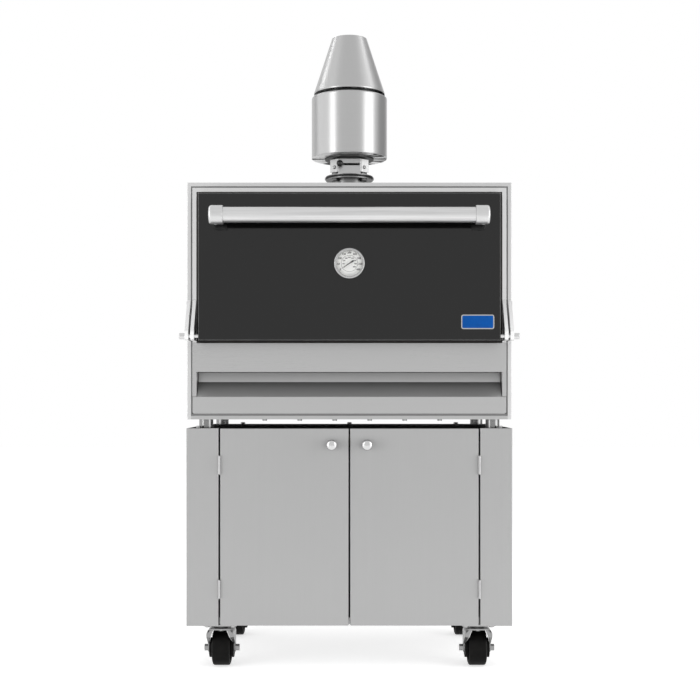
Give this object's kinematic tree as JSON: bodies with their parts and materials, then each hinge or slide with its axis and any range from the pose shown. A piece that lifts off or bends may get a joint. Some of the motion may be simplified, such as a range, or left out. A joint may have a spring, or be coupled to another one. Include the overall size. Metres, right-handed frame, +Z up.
{
  "type": "charcoal oven",
  "caption": "Free-standing steel charcoal oven with a drop-down black door, ash drawer, round flue with spark arrestor, and a storage cabinet on casters.",
  "frame": {"origin": "on the floor, under the middle of the bounding box", "axes": "+X to the right seen from the front, +Y from the front to the back, +Z up"},
  "size_m": [0.941, 0.781, 1.861],
  "materials": {
    "brushed_stainless": "satin",
    "polished_stainless": "polished",
    "black_enamel": "matte",
    "scaled_steel": "matte",
    "cast_iron": "matte",
    "zinc_steel": "satin",
    "black_rubber": "matte",
    "mineral_wool": "matte",
    "glass_rope": "matte",
    "dial_white": "satin",
    "needle_black": "satin",
    "dial_glass": "gloss",
    "badge_blue": "gloss",
    "ball_plastic": "gloss"
  },
  "bodies": {
    "oven_body": {"casing_wrap": "brushed_stainless", "casing_back": "brushed_stainless", "casing_base": "brushed_stainless", "insulation_slabs": "mineral_wool", "body_legs": "polished_stainless", "front_frame": "brushed_stainless", "fire_chamber": "scaled_steel", "fire_grate": "cast_iron", "rack_runners": "scaled_steel", "rack_lower": "scaled_steel", "rack_upper": "scaled_steel", "drawer_runners": "scaled_steel", "hinge_brackets": "brushed_stainless", "hinge_pins": "brushed_stainless", "flue_pipe": "polished_stainless", "flange_bolts": "zinc_steel", "damper_housing": "brushed_stainless", "spark_arrestor_can": "polished_stainless", "arrestor_cone": "polished_stainless", "cabinet_left_side": "brushed_stainless", "cabinet_right_side": "brushed_stainless", "cabinet_back": "brushed_stainless", "cabinet_top": "brushed_stainless", "cabinet_floor": "brushed_stainless", "door_catch": "scaled_steel", "cabinet_hinge_frames": "brushed_stainless", "caster_plates": "zinc_steel"},
    "oven_door": {"door_skin": "black_enamel", "door_liner": "brushed_stainless", "door_insulation": "mineral_wool", "door_hinge_bushes": "scaled_steel", "door_gasket": "glass_rope", "handle_tube": "brushed_stainless", "handle_ends": "brushed_stainless", "thermometer_case": "polished_stainless", "thermometer_stem": "polished_stainless", "thermometer_dial": "dial_white", "thermometer_lens": "dial_glass", "badge_plate": "badge_blue"},
    "dial_needle": {"thermometer_needle": "needle_black"},
    "damper": {"damper_shutter": "brushed_stainless", "damper_knob": "ball_plastic"},
    "ash_drawer": {"ash_drawer_front": "brushed_stainless", "ash_drawer_tray": "brushed_stainless"},
    "left_cabinet_door": {"cabinet_door_left": "brushed_stainless", "cabinet_knob_left": "polished_stainless", "cabinet_hinge_leaves_left": "brushed_stainless"},
    "right_cabinet_door": {"cabinet_door_right": "brushed_stainless", "cabinet_knob_right": "polished_stainless", "cabinet_hinge_leaves_right": "brushed_stainless"},
    "swivel_front_left": {"caster_fork_front_left": "zinc_steel"},
    "wheel_front_left": {"caster_wheel_front_left": "black_rubber"},
    "swivel_front_right": {"caster_fork_front_right": "zinc_steel"},
    "wheel_front_right": {"caster_wheel_front_right": "black_rubber"},
    "swivel_rear_left": {"caster_fork_rear_left": "zinc_steel"},
    "wheel_rear_left": {"caster_wheel_rear_left": "black_rubber"},
    "swivel_rear_right": {"caster_fork_rear_right": "zinc_steel"},
    "wheel_rear_right": {"caster_wheel_rear_right": "black_rubber"}
  },
  "joints": [
    {"name": "oven_door_hinge", "type": "hinge", "parent": "oven_body", "child": "oven_door", "pos_m": [0, -0.296, 0.936], "axis": [1, 0, 0], "range_deg": [0, 90]},
    {"name": "needle_turn", "type": "hinge", "parent": "oven_door", "child": "dial_needle", "pos_m": [0, -0.3115, 1.1355], "axis": [0, 1, 0], "range_deg": [0, 248], "stiffness_Nm_per_rad": 0.002},
    {"name": "damper_swing", "type": "hinge", "parent": "oven_body", "child": "damper", "pos_m": [0, 0.0705, 1.47], "axis": [0, 0, 1], "range_deg": [0, 45]},
    {"name": "ash_drawer_slide", "type": "slide", "parent": "oven_body", "child": "ash_drawer", "axis": [0, -1, 0], "range_m": [0, 0.35]},
    {"name": "left_cabinet_door_hinge", "type": "hinge", "parent": "oven_body", "child": "left_cabinet_door", "pos_m": [-0.3646, -0.2538, 0.403], "axis": [0, 0, -1], "range_deg": [0, 120]},
    {"name": "right_cabinet_door_hinge", "type": "hinge", "parent": "oven_body", "child": "right_cabinet_door", "pos_m": [0.3646, -0.2538, 0.403], "axis": [0, 0, 1], "range_deg": [0, 120]},
    {"name": "swivel_front_left", "type": "hinge", "parent": "oven_body", "child": "swivel_front_left", "pos_m": [-0.365, -0.1945, 0.11], "axis": [0, 0, 1], "continuous": true},
    {"name": "spin_front_left", "type": "hinge", "parent": "swivel_front_left", "child": "wheel_front_left", "pos_m": [-0.365, -0.1665, 0.05], "axis": [1, 0, 0], "continuous": true},
    {"name": "swivel_front_right", "type": "hinge", "parent": "oven_body", "child": "swivel_front_right", "pos_m": [0.365, -0.1945, 0.11], "axis": [0, 0, 1], "continuous": true},
    {"name": "spin_front_right", "type": "hinge", "parent": "swivel_front_right", "child": "wheel_front_right", "pos_m": [0.365, -0.1665, 0.05], "axis": [1, 0, 0], "continuous": true},
    {"name": "swivel_rear_left", "type": "hinge", "parent": "oven_body", "child": "swivel_rear_left", "pos_m": [-0.365, 0.2595, 0.11], "axis": [0, 0, 1], "continuous": true},
    {"name": "spin_rear_left", "type": "hinge", "parent": "swivel_rear_left", "child": "wheel_rear_left", "pos_m": [-0.365, 0.2875, 0.05], "axis": [1, 0, 0], "continuous": true},
    {"name": "swivel_rear_right", "type": "hinge", "parent": "oven_body", "child": "swivel_rear_right", "pos_m": [0.365, 0.2595, 0.11], "axis": [0, 0, 1], "continuous": true},
    {"name": "spin_rear_right", "type": "hinge", "parent": "swivel_rear_right", "child": "wheel_rear_right", "pos_m": [0.365, 0.2875, 0.05], "axis": [1, 0, 0], "continuous": true}
  ]
}
